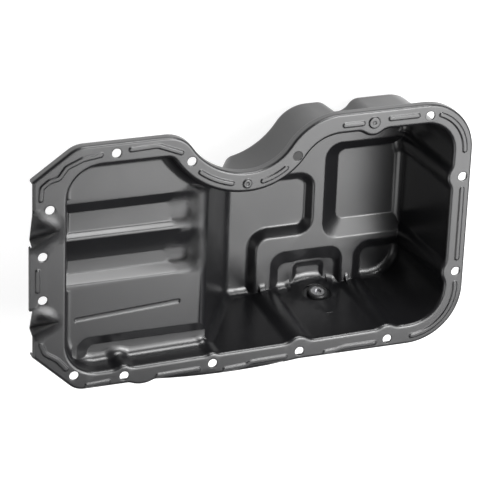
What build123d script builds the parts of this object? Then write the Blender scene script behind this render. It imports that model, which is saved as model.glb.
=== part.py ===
from build123d import *
import math
import os

# Pressed steel oil pan for a small engine, with its welded drain nut, plug and seal.
# X runs along the pan towards the deep end, Y across it towards the arched side, Z up to the engine.
# The drawing height 0 is the gasket face. The finished parts stand on the floor of the sump.

# Sheet and press radii
sheet = 1.6
wall_draft = 3.0
floor_radius = 9.0
brow_radius = 12.0
mouth_radius = 3.5

# Flange, seen from the engine
flange_length = 430.5
flange_width = 248.0
rail = 20.0
shallow_end_rail = 32.5
shallow_step = 4.3
bottom_rail_shallow = 15.5
bottom_rail_deep = 21.5
deep_corner_radius = 50.0
deep_lower_corner_radius = 55.0
shallow_corner_radius = 25.0
opening_corner_radius = 32.0
shallow_corner_cut_x = 41.0
shallow_corner_cut_y = 29.0
lower_corner_cut_x = 42.0
lower_corner_cut_y = 40.0

# Arch in the long side, that clears the engine's side cover
arch_x = -9.25
arch_depth = 47.5
arch_radius_deep = 48.0
arch_radius_shallow = 66.0
shoulder_radius_deep = 60.0
shoulder_radius_shallow = 30.0

# Depths below the gasket face
tray_depth = 18.0
sump_depth = 95.0
pad_depth = 8.5
pad_foot_radius = 3.5
ramp_top_x = -43.0
ramp_foot_x = 4.0
channel_floors = (-22.5, -28.0)
wall_channel_floor = -23.0
tray_bead_depth = 1.2
tray_bead_width = 4.6

# Post under the deep pip and bay around the drain
post_radius = 15.0
post_offset = 1.5
post_lean = 12.0
post_blend = 12.0
drain_x = 97.0
bay_radius = 57.0
bay_centre_out = 25.0
bay_lean = 9.0
drain_floor_rise = 2.5
drain_ramp_radius = 2.0

# Drain seat, nut, washer and plug
seat_tilt = 13.8
seat_inset = 25.4
seat_z = -79.0
seat_radius = 14.0
thread_radius = 7.0
thread_clearance = 0.05
washer_clearance = 0.2
hole_clearance = 0.6
boss_radius = 10.0
boss_height = 4.5
washer_radius = 11.0
washer_height = 1.5
head_collar_radius = 11.5
head_collar_height = 2.0
head_across_flats = 17.0
head_height = 8.5
cup_radius = 3.8
cup_depth = 1.8

# Beads and pips
bead_inset = 8.45
bead_width = 5.0
bead_height = 1.1
arch_bead_insets = (10.7, 11.4)
arch_bead_turns = ((231.7, 257.1), (282.8, 306.7))
deep_bead_turns = ((0, 69), (275, 365))
pip_height = 1.3
pip_deep_radius = 5.8
pip_arch_radius = 4.5

# Turned edge and scoops
lip_depth = 8.5
fold_radius = 2.6
tab_lip_depth = 3.5
scoop_depth = 9.0
scoop_reach = 24.25
scoops = [(59.0, 26.0, 31.0), (-37.0, -61.0, -57.5)]

right = flange_length / 2
left = -right
top = flange_width / 2
bottom = -top
shallow_top = top - shallow_step

# Swellings of the lower edge and the tab between the scoops
bulge_x = -109.0
bulge_half_width = 12.0
bulge_rise = 3.0
bulge_blend = 10.0
bow_x = -24.0
bow_half_width = 72.0
bow_rise = 3.5
tab_reach = 2.8
tab_low = -36.0
tab_high = 29.0

# Bolt places, from the ends and sides of the flange
bolt_hole = 9.0
edge_bolt = 8.7
bolts = {
    "shallow_end_upper": (left + 16.4, 61.8),
    "shallow_end_middle": (left + 9.7, 16.4),
    "shallow_end_lower": (left + 9.7, -26.9),
    "corner_shallow": (left + 39.7, bottom + 16.1),
    "lower_1": (-126.8, bottom + edge_bolt),
    "lower_2": (-39.5, bottom + edge_bolt),
    "lower_3": (48.1, bottom + edge_bolt),
    "lower_4": (138.9, bottom + edge_bolt),
    "deep_end_lower": (right - edge_bolt, -52.2),
    "deep_end_upper": (right - edge_bolt, 46.9),
    "corner_deep": (right - 46.5, top - 11.4),
    "arch_deep": (37.5, top - 36.9),
    "arch_shallow": (-65.6, top - 30.2),
    "upper": (-137.2, top - 13.9),
}
lobes = {
    "lower_1": 11.0,
    "lower_2": 11.0,
    "lower_3": 15.5,
    "lower_4": 15.5,
    "deep_end_lower": 15.0,
    "deep_end_upper": 15.5,
}
lobe_blend = 14.0
pip_deep = (112.3, top - 11.7)
pip_arch = (-11.3, top - 58.3)


def arc(start, end, centre, radius):
    """Short arc about a centre, from start to end."""
    middle = (Vector(*start) + Vector(*end)) * 0.5 - Vector(*centre)
    return ThreePointArc(start, Vector(*centre) + middle.normalized() * radius, end)


def arch_cut(inset):
    """The arch as a face to cut away, moved into the flange by an inset."""
    bottom_y = top - arch_depth
    deep_centre = (arch_x, bottom_y + arch_radius_deep)
    shallow_centre = (arch_x, bottom_y + arch_radius_shallow)
    sides = []
    for centre, radius, shoulder, level, side in (
        (shallow_centre, arch_radius_shallow, shoulder_radius_shallow, shallow_top, -1),
        (deep_centre, arch_radius_deep, shoulder_radius_deep, top, 1),
    ):
        reach = radius + shoulder
        rise = level - shoulder - centre[1]
        shoulder_x = centre[0] + side * math.sqrt(reach ** 2 - rise ** 2)
        hub = (shoulder_x, level - shoulder)
        share = (radius + inset) / reach
        touch = (centre[0] + (hub[0] - centre[0]) * share, centre[1] + (hub[1] - centre[1]) * share)
        crest = (shoulder_x, level - inset)
        sides.append((centre, radius + inset, hub, shoulder - inset, touch, crest))
    (ca, ra, ha, sa, ta, ka), (cb, rb, hb, sb, tb, kb) = sides
    low = (arch_x, bottom_y - inset)
    high = top + rail
    edges = [
        arc(ka, ta, ha, sa),
        arc(ta, low, ca, ra),
        arc(low, tb, cb, rb),
        arc(tb, kb, hb, sb),
        Line(kb, (kb[0], high)),
        Line((kb[0], high), (ka[0], high)),
        Line((ka[0], high), ka),
    ]
    return make_face(Wire(edges))


def rounded_face(corners):
    """Face with straight sides and a radius at each corner, given as x, y, radius."""
    face = make_face(Polyline(*[(x, y) for x, y, r in corners], close=True))
    for x, y, r in corners:
        if r > 0:
            corner = face.vertices().sort_by_distance((x, y, 0))[0]
            face = fillet(corner, r)
    return face


outer = rounded_face([
    (left, shallow_top - shallow_corner_cut_y, 2),
    (left, bottom + lower_corner_cut_y, 2),
    (left + lower_corner_cut_x, bottom, 20),
    (right, bottom, deep_lower_corner_radius),
    (right, top, deep_corner_radius),
    (arch_x, top, 0),
    (arch_x, shallow_top, 0),
    (left + shallow_corner_cut_x, shallow_top, shallow_corner_radius),
]) - arch_cut(0)


def circle_face(centre, radius):
    return make_face(CenterArc((*centre, 0), radius, 0, 360))


def new_vertices(face, before):
    """Vertices that a cut or a join has just made."""
    fresh = []
    for v in face.vertices():
        if min((Vector(v.X, v.Y, 0) - b).length for b in before) > 0.01:
            fresh.append(v)
    return fresh


def corners_of(face):
    return [Vector(v.X, v.Y, 0) for v in face.vertices()]


# Swellings of the outline: a small one beside the first lower bolt and a long shallow one
bulge_radius = (bulge_half_width ** 2 + bulge_rise ** 2) / (2 * bulge_rise)
bow_radius = (bow_half_width ** 2 + bow_rise ** 2) / (2 * bow_rise)
known = corners_of(outer)
outer = outer + circle_face((bulge_x, bottom - bulge_rise + bulge_radius), bulge_radius)
outer = fillet(new_vertices(outer, known), bulge_blend)
bow = circle_face((bow_x, bottom - bow_rise + bow_radius), bow_radius)
bow_start = bow_x - bow_half_width - 8
bow_end = bow_x + bow_half_width + 8
bow_low = bottom - 10
bow_high = bottom + 5
bow_corners = [(bow_start, bow_low), (bow_end, bow_low), (bow_end, bow_high), (bow_start, bow_high)]
bow = bow & make_face(Polyline(*bow_corners, close=True))
outer = outer + bow
tab = rounded_face([
    (left - tab_reach, tab_low, 1.5),
    (left + 8, tab_low, 0),
    (left + 8, tab_high, 0),
    (left - tab_reach, tab_high, 1.5),
])

# Mouth of the pan, with a swelling of the rail at each bolt that needs room
opening = rounded_face([
    (left + shallow_end_rail, shallow_top - rail, opening_corner_radius),
    (left + shallow_end_rail, bottom + bottom_rail_shallow, opening_corner_radius),
    (right - rail, bottom + bottom_rail_deep, deep_lower_corner_radius - rail),
    (right - rail, top - rail, deep_corner_radius - rail),
    (arch_x, top - rail, 0),
    (arch_x, shallow_top - rail, 0),
]) - arch_cut(rail)
for name, radius in lobes.items():
    known = corners_of(opening)
    opening = opening - circle_face(bolts[name], radius)
    opening = fillet(new_vertices(opening, known), lobe_blend)

# Inside of the pan. Each function gives the space inside the sheet, or with a growth of one
# sheet the space out to its underside, so that the wall keeps its thickness everywhere.
far = flange_length
ramp_slope = math.atan2(sump_depth - tray_depth, ramp_foot_x - ramp_top_x)
pad_floor = -sump_depth - pad_depth
drain_floor = pad_floor + drain_floor_rise


def slide(grow, depth, run):
    """How far a sloped side moves at one height when its space grows."""
    return grow * math.hypot(depth, run) / depth


def bench(grow, level, depth):
    """Block that stays under the tray, up to the ramp into the sump."""
    deep = -depth - 60
    height = level - grow
    top_x = ramp_top_x - grow * math.tan(ramp_slope / 2) + (-tray_depth - level) / math.tan(ramp_slope)
    foot_x = top_x + (height - deep) / math.tan(ramp_slope)
    profile = Polyline((-far, height), (top_x, height), (foot_x, deep), (-far, deep), close=True)
    block = extrude(make_face(Plane.XZ * profile), flange_width, both=True)
    brow = block.edges().filter_by(Axis.Y).sort_by_distance((top_x, 0, height))[0]
    return fillet(brow, brow_radius - grow)


def leaning_post(grow, centre, radius, lean, depth):
    """Round post against the wall that leans into the pan by lean at the given depth."""
    direction = Vector(0, -lean, -depth)
    start = Vector(*centre) - direction * 0.2
    reach = direction.length * (1.2 * depth + 40) / depth
    return Part() + Solid.make_cylinder(radius - grow, reach, Plane(origin=start, z_dir=direction))


def bay(grow):
    """Cone that leans out of the lower wall around the drain."""
    tall = 80.0
    base_z = pad_floor - 20
    low = bay_radius + 20 * math.tan(math.radians(bay_lean)) - grow / math.cos(math.radians(bay_lean))
    high = low - tall * math.tan(math.radians(bay_lean))
    cone = Solid.make_cone(low, high, tall, Plane((drain_x, bottom - bay_centre_out, base_z)))
    return Part() + cone


def basin(grow, level, depth, with_drain):
    """Tapered space below the mouth with the tray, the ramp and the sump floor, all rounded."""
    outline = opening if grow == 0 else offset(opening, grow)
    body = extrude(outline, -depth - grow, taper=wall_draft)
    if with_drain:
        post_centre = (pip_deep[0], pip_deep[1] + post_offset)
        post = leaning_post(grow, post_centre, post_radius, post_lean, sump_depth)
        known = [e.center() for e in body.edges()]
        body = body - post
        seams = []
        for e in body.edges():
            height = e.bounding_box().size.Z
            if height > depth * 0.8 and min((e.center() - k).length for k in known) > 0.01:
                seams.append(e)
        body = fillet(seams, post_blend + grow)
        body = body - bay(grow)
    block = bench(grow, level, depth)
    body = body - block
    chain = []
    for e in body.edges():
        middle = e @ 0.5
        along = e % 0.5
        on_floor = abs(middle.Z + depth + grow) < 1e-4
        on_block = middle.Z < -1 and block.distance_to(middle) < 1e-4 and abs(along.Z) < 0.9999
        across = e.geom_type == GeomType.LINE and abs(along.Y) > 0.999
        if on_floor or (on_block and not across):
            chain.append(e)
    return fillet(chain, floor_radius + grow)


def tub(grow, depth):
    """Plain tapered space below the mouth with a rounded floor."""
    outline = opening if grow == 0 else offset(opening, grow)
    body = extrude(outline, -depth - grow, taper=wall_draft)
    floor = body.faces().sort_by(Axis.Z)[0]
    return fillet(floor.edges(), floor_radius + grow)


def pocket(grow, z_top, z_bottom, sides, corner=8.0, bottom_radius=4.0, rim_radius=4.0, flare=5.0, lift=12.0):
    """Pressed pocket with sloped sides, a rounded foot and a rounded rim.

    Each side is given in turn as axis, place at the rim, place at the foot, outward sign.
    """
    depth = z_top - z_bottom
    count = len(sides)

    def outline(z, extra):
        places = []
        for axis, upper, lower, sign in sides:
            run = lower - upper
            place = upper + run * (z_top - z) / depth + sign * (slide(grow, depth, run) + extra)
            places.append((axis, place))
        points = []
        for i in range(count):
            a, b = places[i - 1], places[i]
            x = a[1] if a[0] == "x" else b[1]
            y = a[1] if a[0] == "y" else b[1]
            points.append((x, y))
        face = make_face(Polyline(*points, close=True))
        rise = z - z_bottom + grow
        for i, (x, y) in enumerate(points):
            before = points[i - 1]
            after = points[(i + 1) % count]
            cross = (x - before[0]) * (after[1] - y) - (y - before[1]) * (after[0] - x)
            size = corner + grow + extra + rise if cross > 0 else 2.5 * corner - grow - extra - rise
            spot = face.vertices().sort_by_distance((x, y, 0))[0]
            face = fillet(spot, size)
        return face

    low = Plane.XY.offset(z_bottom - grow) * outline(z_bottom - grow, 0)
    high = Plane.XY.offset(z_top - grow + 0.5) * outline(z_top - grow + 0.5, 0)
    body = loft([low, high], ruled=True)
    foot = body.faces().sort_by(Axis.Z)[0]
    body = fillet(foot.edges(), bottom_radius + grow)
    collar = Plane.XY.offset(z_top - grow) * outline(z_top, flare)
    collar = extrude(collar, lift)
    outer_edges = [e.center() for e in collar.edges()]
    body = body + collar
    rim = []
    for e in body.edges():
        spot = e.center()
        if abs(spot.Z - z_top + grow) < 1e-4 and min((spot - o).length for o in outer_edges) > 0.5:
            rim.append(e)
    return fillet(rim, rim_radius - grow)


# Pads, wells and channels: each side as axis, place at the rim, place at the foot, outward sign
pads = [
    (pad_floor, [
        ("y", -far, -far, -1),
        ("x", 37.0, 31.5, 1),
        ("y", -40.0, -31.5, -1),
        ("x", 94.8, 89.0, 1),
        ("y", 25.5, 17.5, 1),
        ("x", -far, -far, -1),
    ]),
    (pad_floor, [
        ("y", -48.0, -31.0, -1),
        ("x", far, far, 1),
        ("y", 53.0, 43.0, 1),
        ("x", 105.5, 122.5, -1),
    ]),
    (pad_floor, [
        ("y", -far, -far, -1),
        ("x", far, far, 1),
        ("y", bottom + 69.0, bottom + 58.0, 1),
        ("x", 140.7, 150.5, -1),
    ]),
]
drain_pad = [
    ("y", -far, -far, -1),
    ("x", 127.5, 123.5, 1),
    ("y", bottom + 68.0, bottom + 53.0, 1),
    ("x", 53.0, 63.0, -1),
]
drain_ramp = [
    ("y", -far, -far, -1),
    ("x", 111.5, 107.5, 1),
    ("y", bottom + 51.5, bottom + 45.5, 1),
    ("x", 79.0, 83.5, -1),
]
channels = [
    (channel_floors[0], 7.0, 3.5, 3.0, [
        ("y", 22.5, 27.0, -1),
        ("x", -51.0, -59.0, 1),
        ("y", 57.0, 46.5, 1),
        ("x", -far, -far, -1),
    ]),
    (channel_floors[1], 5.0, 2.0, 3.0, [
        ("y", -24.5, -17.0, -1),
        ("x", -46.0, -58.0, 1),
        ("y", 20.0, -4.0, 1),
        ("x", -far, -far, -1),
    ]),
]
wall_channel = [
    ("y", -far, -far, -1),
    ("x", 0.0, 0.0, 1),
    ("y", bottom + 44.0, bottom + 34.0, 1),
    ("x", left + 47.25, left + 59.25, -1),
]
# The low basins lie this little inside the wall, so that no two walls share a surface
hair = 0.03


def space(grow):
    """All the space inside the sheet, or out to its underside."""
    deep = basin(grow, -tray_depth, -pad_floor, True)
    wells = [pocket(grow, -sump_depth, floor, sides, bottom_radius=pad_foot_radius) for floor, sides in pads]
    wells = deep & (wells[0] + wells[1:])
    drain_well = pocket(grow, -sump_depth, drain_floor, drain_pad)
    drain_well = basin(grow, -tray_depth, -drain_floor, True) & drain_well
    ramp = pocket(grow, drain_floor, pad_floor, drain_ramp, 3.0, drain_ramp_radius, drain_ramp_radius, 3.0)
    body = basin(grow, -tray_depth, sump_depth, True)
    low_tray = basin(grow - hair, wall_channel_floor, sump_depth, False)
    body = body + (low_tray & pocket(grow, -tray_depth, wall_channel_floor, wall_channel, 8.0, 1.6, 3.0))
    for floor, corner, foot, rim, sides in channels:
        body = body + (tub(grow - hair, -floor) & pocket(grow, -tray_depth, floor, sides, corner, foot, rim))
    body = body + wells
    body = body + drain_well
    return body + (deep & ramp)


# Drain seat: a flat disc pressed outward in the bay, square to the plug
inward = Vector(0, math.cos(math.radians(seat_tilt)), math.sin(math.radians(seat_tilt)))
seat = Vector(drain_x, bottom + seat_inset, seat_z)
seat_plane = Plane(origin=seat, x_dir=(1, 0, 0), z_dir=inward)


def seat_disc(grow):
    return extrude(seat_plane.offset(-grow) * Circle(seat_radius + grow), 9 + grow)


inner = space(0) + seat_disc(0)
under = space(sheet) + seat_disc(sheet)
plate = extrude(outer + tab, -sheet)
pan = plate + under
pan = pan - inner
top_face = [f for f in pan.faces() if abs(f.center().Z) < 1e-4][0]
pan = fillet(top_face.inner_wires()[0].edges(), mouth_radius)
low_face = [f for f in pan.faces() if abs(f.center().Z + sheet) < 1e-4][0]
pan = fillet(low_face.inner_wires()[0].edges(), mouth_radius - sheet)

# Lip turned down round the flange, apart from the plain shallow end
ring = outer - offset(outer, -sheet)
lip = extrude(ring, -lip_depth)
end_high = shallow_top - shallow_corner_cut_y
end_low = bottom + lower_corner_cut_y
open_end = Box(2 * sheet + 4, end_high - end_low - 4, 2 * lip_depth)
lip = lip - Pos(left, (end_high + end_low) / 2, -lip_depth / 2) * open_end
tab_lip = Box(sheet, tab_high - tab_low, tab_lip_depth)
tab_lip = Pos(left - tab_reach + sheet / 2, (tab_low + tab_high) / 2, -tab_lip_depth / 2) * tab_lip
pan = pan + lip + tab_lip
top_face = [f for f in pan.faces() if abs(f.center().Z) < 1e-4][0]
fold = [e for e in top_face.outer_wire().edges() if e.center().X > left + 4]
pan = fillet(fold, fold_radius)


def scoop(grow, y_gentle, y_steep, y_deep):
    """Recess pressed into the rail at the shallow end, open at the edge and fading inwards."""
    hub = y_steep + (y_gentle - y_steep) * 0.45
    corners = ((y_gentle, 0), (y_steep, 0), (y_deep, -scoop_depth))

    def profile(x, scale):
        shape = [(hub + (y - hub) * scale, z * scale) for y, z in corners]
        face = make_face(Polyline(*shape, close=True))
        if grow > 0:
            face = offset(face, grow, kind=Kind.INTERSECTION)
        return Plane(origin=(x, 0, 0), x_dir=(0, 1, 0), z_dir=(1, 0, 0)) * face

    body = loft([profile(left - 3, 1.08), profile(left + scoop_reach, 0.08)], ruled=True)
    return body & (Pos(0, 0, -50) * Box(2 * far, 2 * far, 100))


for places in scoops:
    pan = pan + (scoop(sheet, *places) & extrude(outer, -40))
    pan = pan - scoop(0, *places)


# Stiffening beads pressed up along the flange
def turn(centre, radius, start, end):
    """Part of a circle, from one angle to another in degrees."""
    return CenterArc((*centre, 0), radius, start, end - start)


def soft_path(radius, *points):
    """Line through points with rounded bends."""
    return FilletPolyline(*points, radius=radius)


far_arch = (arch_x, top - arch_depth + arch_radius_shallow)
near_arch = (arch_x, top - arch_depth + arch_radius_deep)
deep_corner = (right - deep_corner_radius, top - deep_corner_radius)
lower_corner = (right - deep_lower_corner_radius, bottom + deep_lower_corner_radius)
side_bead_x = right - bead_inset
corner_bead = deep_corner_radius - bead_inset
lower_bead = deep_lower_corner_radius - bead_inset
bead_paths = [
    soft_path(
        5,
        (left + 7.85, top - 50.8),
        (left + 8.75, top - 39.5),
        (left + 15.75, top - 34.0),
        (left + 24.75, top - 32.0),
        (left + 31.75, top - 22.5),
        (left + 46.55, top - 16.2),
        (left + 63.25, top - 13.8),
    ),
    soft_path(12, (-123.5, top - 11.8), (-98.6, top - 10.8), (-76.0, top - 20.1)),
    turn(far_arch, arch_radius_shallow + arch_bead_insets[0], *arch_bead_turns[0]),
    turn(near_arch, arch_radius_deep + arch_bead_insets[1], *arch_bead_turns[1]),
    Line((83.0, top - 11.4), (100.7, top - 11.4)),
    Line((128.7, top - 9.5), (156.0, top - 9.5)),
    turn(deep_corner, corner_bead, *deep_bead_turns[0]),
    Line((side_bead_x, 34.0), (side_bead_x, -38.0)),
    turn(lower_corner, lower_bead, *deep_bead_turns[1]),
    soft_path(8, (125.4, bottom + 6.7), (94.2, bottom + 6.5), (85.0, bottom + 4.6), (74.7, bottom + 3.9)),
    soft_path(8, (33.6, bottom + 5.2), (-0.8, bottom + 4.4), (-5.8, bottom + 2.0), (-27.0, bottom + 0.9)),
    Line((-54.0, bottom + 5.0), (-93.6, bottom + 4.1)),
    Line((-142.6, bottom + 5.2), (-163.0, bottom + 4.1)),
    soft_path(
        8,
        (left + 7.95, bottom + 52.6),
        (left + 11.45, bottom + 43.0),
        (left + 23.75, bottom + 34.5),
        (left + 31.85, bottom + 24.4),
    ),
    Line((left + 4.8, 2.8), (left + 4.8, -16.2)),
]


def strip(path, width):
    """Flat strip with round ends along a path."""
    wire = path if isinstance(path, Wire) else Wire([path.edge()] if len(path.edges()) == 1 else path.edges())
    return make_face(wire.offset_2d(width / 2, side=Side.BOTH))


ridges = []
grooves = []
for path in bead_paths:
    ridges.append(extrude(Pos(0, 0, -0.3) * strip(path, bead_width + 0.5), bead_height + 0.3, taper=40))
    grooves.append(extrude(Pos(0, 0, -sheet) * strip(path, bead_width - 1.3), bead_height, taper=40))
for place, radius in ((pip_deep, pip_deep_radius), (pip_arch, pip_arch_radius)):
    ridges.append(Pos(*place, -0.3) * extrude(Circle(radius + 0.2), pip_height + 0.3, taper=30))
    grooves.append(Pos(*place, -sheet) * extrude(Circle(radius - 1.2), pip_height, taper=30))
    grooves.append(Pos(*place, pip_height) * Cylinder(1.6, 1.2))
tray_bead = strip(Line((left + 47.25, bottom + 63.6), (-69.0, bottom + 69.7)), tray_bead_width)
tray_ridge = offset(tray_bead, sheet / 2)
ridges.append(extrude(Pos(0, 0, 0.3 - tray_depth - sheet) * tray_ridge, -tray_bead_depth - 0.3, taper=40))
grooves.append(extrude(Pos(0, 0, -tray_depth) * tray_bead, -tray_bead_depth, taper=40))
pan = pan + ridges
pan = pan - grooves
drills = [Pos(*place, 0) * Cylinder(bolt_hole / 2, 12) for place in bolts.values()]
drain_hole = seat_plane.offset(-3 * sheet) * Circle(thread_radius + hole_clearance)
drills.append(Part() + extrude(drain_hole, 6 * sheet))
pan = pan - drills

# Drain nut welded inside, plug and its washer
boss = extrude(seat_plane * Circle(boss_radius), boss_height)
boss = chamfer(boss.edges().filter_by(GeomType.CIRCLE).sort_by_distance(seat + inward * boss_height)[0], 1.0)
boss = boss - extrude(seat_plane.offset(-1) * Circle(thread_radius + thread_clearance), boss_height + 2)
outside = seat_plane.offset(-sheet)
washer = extrude(outside * (Circle(washer_radius) - Circle(thread_radius + washer_clearance)), -washer_height)
head_plane = seat_plane.offset(-sheet - washer_height)
collar = extrude(head_plane * Circle(head_collar_radius), -head_collar_height)
hexagon = extrude(head_plane * RegularPolygon(head_across_flats / 2, 6, major_radius=False), -head_height)
tip = extrude(head_plane * Circle(thread_radius), washer_height + sheet + boss_height - 0.5)
end_plane = head_plane.offset(washer_height + sheet + boss_height - 0.5)
plug = collar + hexagon + tip
plug = plug - extrude(end_plane * Circle(cup_radius), -cup_depth)
pieces = {"oil_pan": pan, "drain_boss": boss, "drain_plug": plug, "plug_washer": washer}
boxes = [piece.bounding_box() for piece in pieces.values()]
middle_x = (min(b.min.X for b in boxes) + max(b.max.X for b in boxes)) / 2
middle_y = (min(b.min.Y for b in boxes) + max(b.max.Y for b in boxes)) / 2
shift = Pos(-middle_x, -middle_y, -min(b.min.Z for b in boxes))
os.makedirs("parts", exist_ok=True)
for name, piece in pieces.items():
    piece = shift * piece
    piece.label = name
    export_step(piece, "parts/" + name + ".step")
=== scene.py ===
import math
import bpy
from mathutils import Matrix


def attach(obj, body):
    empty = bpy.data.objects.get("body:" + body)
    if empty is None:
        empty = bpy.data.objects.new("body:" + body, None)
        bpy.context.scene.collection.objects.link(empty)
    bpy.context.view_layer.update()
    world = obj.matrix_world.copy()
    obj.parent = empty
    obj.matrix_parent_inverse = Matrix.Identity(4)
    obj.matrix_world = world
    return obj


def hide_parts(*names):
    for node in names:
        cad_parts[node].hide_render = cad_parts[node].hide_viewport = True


bl_info = {
    "name": "Engine oil pan",
    "version": (1, 0, 0),
    "blender": (4, 5, 0),
    "location": "View3D > Sidebar > Oil Pan",
    "description": "Finishes a pressed steel oil pan and sets it on a plain studio floor",
    "category": "Object",
}

import bmesh
import bpy
from bpy.props import FloatProperty, FloatVectorProperty, PointerProperty
from mathutils import Euler, Vector

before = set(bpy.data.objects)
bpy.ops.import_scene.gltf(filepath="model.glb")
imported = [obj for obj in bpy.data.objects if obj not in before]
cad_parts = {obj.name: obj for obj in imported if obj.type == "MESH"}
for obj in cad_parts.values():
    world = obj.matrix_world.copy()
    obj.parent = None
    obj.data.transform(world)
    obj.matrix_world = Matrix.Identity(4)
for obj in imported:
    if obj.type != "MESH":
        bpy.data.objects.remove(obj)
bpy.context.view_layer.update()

# Measures in metres
JOIN_DISTANCE = 1e-6
FLOOR_HALF_SIZE = 6.0
AIM = (0.0, 0.0, 0.06)

# Each soft box: name, place, width, height and the setting that holds its power
SOFT_BOXES = (
    ("overhead_box", (0.78, 0.03, 1.45), 1.7, 1.3, "overhead_power"),
    ("spot_box", (0.62, 0.22, 1.50), 0.36, 0.28, "spot_power"),
    ("side_box", (0.34, 1.25, 0.60), 0.8, 0.5, "side_power"),
    ("end_box", (-0.85, -0.60, 1.15), 0.9, 0.9, "end_power"),
)

# Middles of the two scoops and of the ends of the two tray channels, and how far each reaches
SOFT_SPOTS = (
    (-0.2040, 0.0430, 0.101, 0.026),
    (-0.2040, -0.0480, 0.101, 0.022),
    (-0.0560, 0.0420, 0.084, 0.026),
    (-0.0530, -0.0010, 0.080, 0.030),
)
SOFT_SPOT_CORE = 0.75

# What every finish shares: the noise that breaks up its rubbed edges, how convex an edge is where
# rubbing starts and where it is full, and how far its colour drifts
RUB_BREAK = 220.0
RUB_START = 0.53
RUB_FULL = 0.62
DARKER = 0.82
LIGHTER = 1.22


# Settings

class PanCoatSettings(bpy.types.PropertyGroup):
    coat_colour: FloatVectorProperty(
        name="Coat colour", description="Colour of the black dip coating", subtype="COLOR",
        size=3, min=0.0, max=1.0, default=(0.0062, 0.0062, 0.0070))
    coat_roughness: FloatProperty(
        name="Coat roughness", description="How dull the coating is", subtype="FACTOR",
        min=0.0, max=1.0, default=0.30)
    coat_gloss: FloatProperty(
        name="Coat gloss", description="How strongly the coating mirrors things", subtype="FACTOR",
        min=0.0, max=1.0, default=0.62)
    peel_size: FloatProperty(
        name="Peel size", description="Width of the coating's fine waves", unit="LENGTH",
        min=0.0001, max=0.02, default=0.0016)
    peel_depth: FloatProperty(
        name="Peel depth", description="Height of the coating's fine waves", unit="LENGTH",
        min=0.0, max=0.001, default=0.00002)
    press_radius: FloatProperty(
        name="Press radius", description="How softly the sheet turns at beads and recesses", unit="LENGTH",
        min=0.0, max=0.01, default=0.0015)
    spot_radius: FloatProperty(
        name="Spot radius", description="How softly the sheet turns at scoops and channel ends",
        unit="LENGTH", min=0.0, max=0.02, default=0.012)
    smooth_angle: FloatProperty(
        name="Smooth angle", description="Edges sharper than this stay crisp", subtype="ANGLE",
        min=0.0, max=math.pi, default=math.radians(32))


class DrainSettings(bpy.types.PropertyGroup):
    zinc_colour: FloatVectorProperty(
        name="Zinc colour", description="Colour of the plated plug", subtype="COLOR",
        size=3, min=0.0, max=1.0, default=(0.42, 0.42, 0.43))
    zinc_roughness: FloatProperty(
        name="Zinc roughness", description="How dull the plug is", subtype="FACTOR",
        min=0.0, max=1.0, default=0.34)
    washer_colour: FloatVectorProperty(
        name="Washer colour", description="Colour of the soft washer", subtype="COLOR",
        size=3, min=0.0, max=1.0, default=(0.78, 0.78, 0.79))
    washer_roughness: FloatProperty(
        name="Washer roughness", description="How dull the washer is", subtype="FACTOR",
        min=0.0, max=1.0, default=0.42)


class StudioSettings(bpy.types.PropertyGroup):
    floor_colour: FloatVectorProperty(
        name="Floor colour", description="Colour of the studio floor", subtype="COLOR",
        size=3, min=0.0, max=1.0, default=(0.40, 0.40, 0.40))
    floor_glow: FloatProperty(
        name="Floor glow", description="How much the floor brightens the picture behind the object",
        min=0.0, max=2.0, default=0.75)
    surround: FloatProperty(
        name="Surround", description="Strength of the dim light from all round",
        min=0.0, max=5.0, default=0.04)
    overhead_power: FloatProperty(
        name="Overhead power", description="Power of the large soft box", unit="POWER",
        min=0.0, max=500.0, default=46.0)
    spot_power: FloatProperty(
        name="Spot power", description="Power of the small box that draws bright lines along the bends",
        unit="POWER", min=0.0, max=500.0, default=11.0)
    side_power: FloatProperty(
        name="Side power", description="Power of the bright soft box on the arched side", unit="POWER",
        min=0.0, max=500.0, default=20.0)
    end_power: FloatProperty(
        name="End power", description="Power of the dim soft box off the shallow end", unit="POWER",
        min=0.0, max=500.0, default=8.0)
    lens: FloatProperty(
        name="Lens", description="Focal length of the camera in millimetres",
        min=10.0, max=500.0, default=187.5)
    camera_place: FloatVectorProperty(
        name="Camera place", description="Where the camera stands", subtype="TRANSLATION", unit="LENGTH",
        size=3, default=(-0.80359, 1.01519, 2.14087))
    camera_turn: FloatVectorProperty(
        name="Camera turn", description="How the camera is turned", subtype="EULER", unit="ROTATION",
        size=3, default=(math.radians(-25.6665), math.radians(-20.4860), math.radians(2.1230)))


# Node groups that several finishes share

def new_group(name, inputs, outputs):
    group = bpy.data.node_groups.new(name, "ShaderNodeTree")
    for label, kind, value in inputs:
        socket = group.interface.new_socket(label, in_out="INPUT", socket_type=kind)
        socket.default_value = value
    for label, kind in outputs:
        group.interface.new_socket(label, in_out="OUTPUT", socket_type=kind)
    nodes = group.nodes
    return group, nodes.new("NodeGroupInput"), nodes.new("NodeGroupOutput")


def link(tree, start, end):
    tree.links.new(start, end)


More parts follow.
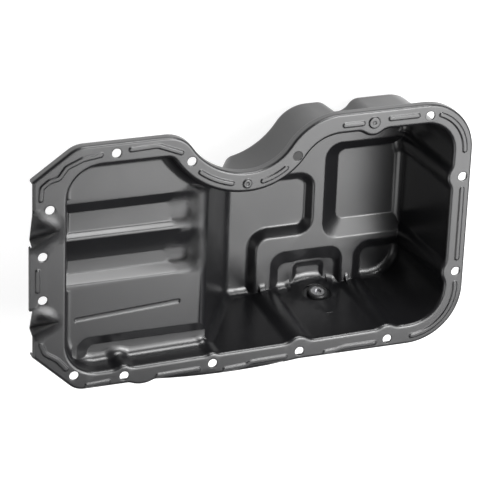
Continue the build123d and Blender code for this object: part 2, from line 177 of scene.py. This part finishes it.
def surface_waves():
    """Fine waves of a coating or plating and slow drifts in it."""
    group, start, end = new_group(
        "Surface waves",
        [("Size", "NodeSocketFloat", 0.0016), ("Drift", "NodeSocketFloat", 0.05)],
        [("Height", "NodeSocketFloat"), ("Cloud", "NodeSocketFloat")])
    nodes = group.nodes
    place = nodes.new("ShaderNodeTexCoord")
    scale = nodes.new("ShaderNodeMath")
    scale.operation = "DIVIDE"
    scale.inputs[0].default_value = 1.0
    link(group, start.outputs["Size"], scale.inputs[1])
    fine = nodes.new("ShaderNodeTexNoise")
    fine.inputs["Detail"].default_value = 3.0
    fine.inputs["Roughness"].default_value = 0.55
    link(group, place.outputs["Object"], fine.inputs["Vector"])
    link(group, scale.outputs[0], fine.inputs["Scale"])
    slow_scale = nodes.new("ShaderNodeMath")
    slow_scale.operation = "DIVIDE"
    slow_scale.inputs[0].default_value = 1.0
    link(group, start.outputs["Drift"], slow_scale.inputs[1])
    slow = nodes.new("ShaderNodeTexNoise")
    slow.inputs["Detail"].default_value = 4.0
    link(group, place.outputs["Object"], slow.inputs["Vector"])
    link(group, slow_scale.outputs[0], slow.inputs["Scale"])
    link(group, fine.outputs["Fac"], end.inputs["Height"])
    link(group, slow.outputs["Fac"], end.inputs["Cloud"])
    return group


def edge_rub():
    """Mask of edges that handling has rubbed, broken up by noise."""
    group, start, end = new_group(
        "Edge rub",
        [("Amount", "NodeSocketFloat", 0.5), ("Break", "NodeSocketFloat", RUB_BREAK)],
        [("Mask", "NodeSocketFloat")])
    nodes = group.nodes
    shape = nodes.new("ShaderNodeNewGeometry")
    edge = nodes.new("ShaderNodeMapRange")
    edge.inputs["From Min"].default_value = RUB_START
    edge.inputs["From Max"].default_value = RUB_FULL
    link(group, shape.outputs["Pointiness"], edge.inputs["Value"])
    place = nodes.new("ShaderNodeTexCoord")
    noise = nodes.new("ShaderNodeTexNoise")
    noise.inputs["Detail"].default_value = 5.0
    link(group, place.outputs["Object"], noise.inputs["Vector"])
    link(group, start.outputs["Break"], noise.inputs["Scale"])
    both = nodes.new("ShaderNodeMath")
    both.operation = "MULTIPLY"
    link(group, edge.outputs["Result"], both.inputs[0])
    link(group, noise.outputs["Fac"], both.inputs[1])
    much = nodes.new("ShaderNodeMath")
    much.operation = "MULTIPLY"
    much.use_clamp = True
    link(group, both.outputs[0], much.inputs[0])
    link(group, start.outputs["Amount"], much.inputs[1])
    link(group, much.outputs[0], end.inputs["Mask"])
    return group


def shared(maker, name):
    return bpy.data.node_groups.get(name) or maker()


def place_group(tree, maker, name, **values):
    node = tree.nodes.new("ShaderNodeGroup")
    node.node_tree = shared(maker, name)
    for key, value in values.items():
        node.inputs[key].default_value = value
    return node


def blend_colours(tree, mask, first, second):
    mix = tree.nodes.new("ShaderNodeMix")
    mix.data_type = "RGBA"
    link(tree, mask, mix.inputs[0])
    mix.inputs[6].default_value = (*first, 1.0)
    mix.inputs[7].default_value = (*second, 1.0)
    return mix


def near_spots(tree, spots):
    """Mask that is 1 at the middle of each spot, given as x, y, z and radius, and 0 outside them."""
    place = tree.nodes.new("ShaderNodeTexCoord")
    mask = None
    for x, y, z, reach in spots:
        away = tree.nodes.new("ShaderNodeVectorMath")
        away.operation = "DISTANCE"
        link(tree, place.outputs["Object"], away.inputs[0])
        away.inputs[1].default_value = (x, y, z)
        fall = tree.nodes.new("ShaderNodeMapRange")
        fall.interpolation_type = "SMOOTHSTEP"
        link(tree, away.outputs["Value"], fall.inputs["Value"])
        fall.inputs["From Min"].default_value = reach * SOFT_SPOT_CORE
        fall.inputs["From Max"].default_value = reach
        fall.inputs["To Min"].default_value = 1.0
        fall.inputs["To Max"].default_value = 0.0
        if mask is None:
            mask = fall.outputs["Result"]
            continue
        both = tree.nodes.new("ShaderNodeMath")
        both.operation = "MAXIMUM"
        link(tree, mask, both.inputs[0])
        link(tree, fall.outputs["Result"], both.inputs[1])
        mask = both.outputs[0]
    return mask


def blend_values(tree, mask, low, high):
    span = tree.nodes.new("ShaderNodeMapRange")
    link(tree, mask, span.inputs["Value"])
    span.inputs["To Min"].default_value = low
    span.inputs["To Max"].default_value = high
    return span


def make_finish(
        name, colour, roughness, spread, wave_size, wave_depth, drift, rub, rubbed,
        metallic=0.0, specular=0.5, press_radius=0.0, soft_spots=(), spot_radius=0.0):
    """One finish: its colour drifts, its roughness varies, and its edges are rubbed.

    The drift is the width of its slow changes, the rub is how much edges lose, and the press
    radius is how softly the surface turns at its crisp edges.
    """
    material = bpy.data.materials.new(name)
    material.use_nodes = True
    tree = material.node_tree
    shader = tree.nodes["Principled BSDF"]
    waves = place_group(tree, surface_waves, "Surface waves", Size=wave_size, Drift=drift)
    worn = place_group(tree, edge_rub, "Edge rub", Amount=rub, Break=RUB_BREAK)
    darker = tuple(c * DARKER for c in colour)
    lighter = tuple(min(c * LIGHTER, 1.0) for c in colour)
    base = blend_colours(tree, waves.outputs["Cloud"], darker, lighter)
    over = tree.nodes.new("ShaderNodeMix")
    over.data_type = "RGBA"
    link(tree, worn.outputs["Mask"], over.inputs[0])
    link(tree, base.outputs[2], over.inputs[6])
    over.inputs[7].default_value = (*rubbed, 1.0)
    link(tree, over.outputs[2], shader.inputs["Base Color"])
    rough = blend_values(tree, waves.outputs["Cloud"], roughness - spread, roughness + spread)
    link(tree, rough.outputs["Result"], shader.inputs["Roughness"])
    bump = tree.nodes.new("ShaderNodeBump")
    bump.inputs["Strength"].default_value = 1.0
    bump.inputs["Distance"].default_value = wave_depth
    link(tree, waves.outputs["Height"], bump.inputs["Height"])
    if press_radius > 0.0:
        bend = tree.nodes.new("ShaderNodeBevel")
        bend.samples = 6
        if soft_spots:
            radius = blend_values(tree, near_spots(tree, soft_spots), press_radius, spot_radius)
            link(tree, radius.outputs["Result"], bend.inputs["Radius"])
        else:
            bend.inputs["Radius"].default_value = press_radius
        link(tree, bend.outputs["Normal"], bump.inputs["Normal"])
    link(tree, bump.outputs["Normal"], shader.inputs["Normal"])
    shader.inputs["Metallic"].default_value = metallic
    shader.inputs["Specular IOR Level"].default_value = specular
    return material


# Pieces

def merged_copy(node, name, angle):
    """A joined copy of a CAD node that can be shaded smoothly."""
    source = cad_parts[node]
    mesh = source.data.copy()
    mesh.name = name
    work = bmesh.new()
    work.from_mesh(mesh)
    bmesh.ops.remove_doubles(work, verts=work.verts, dist=JOIN_DISTANCE)
    for face in work.faces:
        face.smooth = True
    for edge in work.edges:
        if len(edge.link_faces) == 2:
            edge.smooth = edge.calc_face_angle(0.0) < angle
    work.to_mesh(mesh)
    work.free()
    mesh.materials.clear()
    piece = bpy.data.objects.new(name, mesh)
    bpy.context.scene.collection.objects.link(piece)
    even = piece.modifiers.new("Even shading", "WEIGHTED_NORMAL")
    even.mode = "FACE_AREA"
    even.weight = 100
    even.keep_sharp = True
    return piece


def settle(piece, node):
    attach(piece, "root")
    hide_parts(node)


class OILPAN_OT_shell(bpy.types.Operator):
    """Gives the pressed pan its black dip coating"""
    bl_idname = "oilpan.shell"
    bl_label = "Coated pan"

    def execute(self, context):
        coat = context.scene.oilpan_coat
        finish = make_finish(
            "black_dip_coat", tuple(coat.coat_colour), coat.coat_roughness, spread=0.05,
            wave_size=coat.peel_size, wave_depth=coat.peel_depth, drift=0.045,
            rub=0.25, rubbed=(0.05, 0.05, 0.052), specular=coat.coat_gloss,
            press_radius=coat.press_radius, soft_spots=SOFT_SPOTS, spot_radius=coat.spot_radius)
        piece = merged_copy("oil_pan", "pan_shell", coat.smooth_angle)
        piece.data.materials.append(finish)
        settle(piece, "oil_pan")
        return {"FINISHED"}


class OILPAN_OT_drain(bpy.types.Operator):
    """Finishes the drain nut, the plug and its washer"""
    bl_idname = "oilpan.drain"
    bl_label = "Drain plug and nut"

    def execute(self, context):
        coat = context.scene.oilpan_coat
        drain = context.scene.oilpan_drain
        nut = merged_copy("drain_boss", "nut_in_sump", coat.smooth_angle)
        nut.data.materials.append(make_finish(
            "coated_nut", tuple(coat.coat_colour), coat.coat_roughness + 0.04, spread=0.05,
            wave_size=0.0012, wave_depth=0.00003, drift=0.02, rub=0.5, rubbed=(0.07, 0.07, 0.07)))
        settle(nut, "drain_boss")
        plug = merged_copy("drain_plug", "plug_body", coat.smooth_angle)
        plug.data.materials.append(make_finish(
            "zinc_plate", tuple(drain.zinc_colour), drain.zinc_roughness, spread=0.08,
            wave_size=0.0008, wave_depth=0.00001, drift=0.008,
            rub=0.6, rubbed=(0.7, 0.7, 0.7), metallic=1.0))
        settle(plug, "drain_plug")
        ring = merged_copy("plug_washer", "plug_ring", coat.smooth_angle)
        ring.data.materials.append(make_finish(
            "soft_washer", tuple(drain.washer_colour), drain.washer_roughness, spread=0.08,
            wave_size=0.0006, wave_depth=0.00001, drift=0.006,
            rub=0.4, rubbed=(0.9, 0.9, 0.9), metallic=1.0))
        settle(ring, "plug_washer")
        return {"FINISHED"}


def soft_box(name, place, width, height, power):
    """Rectangular lamp that faces the middle of the part."""
    light = bpy.data.lights.new(name, "AREA")
    light.shape = "RECTANGLE"
    light.size = width
    light.size_y = height
    light.energy = power
    lamp = bpy.data.objects.new(name, light)
    lamp.location = place
    lamp.rotation_euler = (Vector(AIM) - Vector(place)).to_track_quat("-Z", "Y").to_euler()
    bpy.context.scene.collection.objects.link(lamp)


def floor_paper(colour, glow):
    """Pale floor that the camera sees nearly white, with the object's shadow kept in it."""
    paper = bpy.data.materials.new("floor_paper")
    paper.use_nodes = True
    tree = paper.node_tree
    shader = tree.nodes["Principled BSDF"]
    shader.inputs["Base Color"].default_value = (*colour, 1.0)
    shader.inputs["Roughness"].default_value = 0.9
    shader.inputs["Specular IOR Level"].default_value = 0.1
    shader.inputs["Emission Color"].default_value = (1.0, 1.0, 1.0, 1.0)
    seen = tree.nodes.new("ShaderNodeLightPath")
    mirrored = tree.nodes.new("ShaderNodeMath")
    mirrored.operation = "MAXIMUM"
    link(tree, seen.outputs["Is Glossy Ray"], mirrored.inputs[0])
    link(tree, seen.outputs["Is Transmission Ray"], mirrored.inputs[1])
    any_ray = tree.nodes.new("ShaderNodeMath")
    any_ray.operation = "MAXIMUM"
    link(tree, seen.outputs["Is Camera Ray"], any_ray.inputs[0])
    link(tree, mirrored.outputs[0], any_ray.inputs[1])
    bright = tree.nodes.new("ShaderNodeMath")
    bright.operation = "MULTIPLY"
    link(tree, any_ray.outputs[0], bright.inputs[0])
    bright.inputs[1].default_value = glow
    link(tree, bright.outputs[0], shader.inputs["Emission Strength"])
    return paper


class OILPAN_OT_studio(bpy.types.Operator):
    """Sets the floor, the lights, the surroundings and the camera"""
    bl_idname = "oilpan.studio"
    bl_label = "Studio"

    def execute(self, context):
        scene = context.scene
        studio = scene.oilpan_studio
        scene.view_settings.view_transform = "Standard"
        work = bmesh.new()
        bmesh.ops.create_grid(work, x_segments=1, y_segments=1, size=FLOOR_HALF_SIZE)
        mesh = bpy.data.meshes.new("studio_floor")
        work.to_mesh(mesh)
        work.free()
        floor = bpy.data.objects.new("studio_floor", mesh)
        scene.collection.objects.link(floor)
        mesh.materials.append(floor_paper(tuple(studio.floor_colour), studio.floor_glow))
        world = bpy.data.worlds.new("studio_world")
        world.use_nodes = True
        back = world.node_tree.nodes["Background"]
        back.inputs["Color"].default_value = (1.0, 1.0, 1.0, 1.0)
        back.inputs["Strength"].default_value = studio.surround
        scene.world = world
        for name, place, width, height, power in SOFT_BOXES:
            soft_box(name, place, width, height, getattr(studio, power))
        camera = bpy.data.objects.new("studio_camera", bpy.data.cameras.new("studio_camera"))
        camera.data.sensor_fit = "HORIZONTAL"
        camera.data.lens = studio.lens
        camera.location = studio.camera_place
        camera.rotation_euler = Euler(tuple(studio.camera_turn), "XYZ")
        scene.collection.objects.link(camera)
        scene.camera = camera
        return {"FINISHED"}


class OILPAN_PT_panel(bpy.types.Panel):
    """Lists the steps and their settings"""
    bl_idname = "OILPAN_PT_panel"
    bl_label = "Oil pan"
    bl_space_type = "VIEW_3D"
    bl_region_type = "UI"
    bl_category = "Oil Pan"

    def draw(self, context):
        layout = self.layout
        scene = context.scene
        for step in STEPS:
            layout.operator(step.bl_idname)
        for settings in (scene.oilpan_coat, scene.oilpan_drain, scene.oilpan_studio):
            box = layout.box()
            for name in settings.__annotations__:
                box.prop(settings, name)


STEPS = (OILPAN_OT_shell, OILPAN_OT_drain, OILPAN_OT_studio)
CLASSES = (PanCoatSettings, DrainSettings, StudioSettings, *STEPS, OILPAN_PT_panel)


def register():
    for cls in CLASSES:
        bpy.utils.register_class(cls)
    bpy.types.Scene.oilpan_coat = PointerProperty(type=PanCoatSettings)
    bpy.types.Scene.oilpan_drain = PointerProperty(type=DrainSettings)
    bpy.types.Scene.oilpan_studio = PointerProperty(type=StudioSettings)


def unregister():
    del bpy.types.Scene.oilpan_studio
    del bpy.types.Scene.oilpan_drain
    del bpy.types.Scene.oilpan_coat
    for cls in reversed(CLASSES):
        bpy.utils.unregister_class(cls)


def main():
    register()
    bpy.ops.oilpan.shell()
    bpy.ops.oilpan.drain()
    bpy.ops.oilpan.studio()


if __name__ == "__main__":
    main()
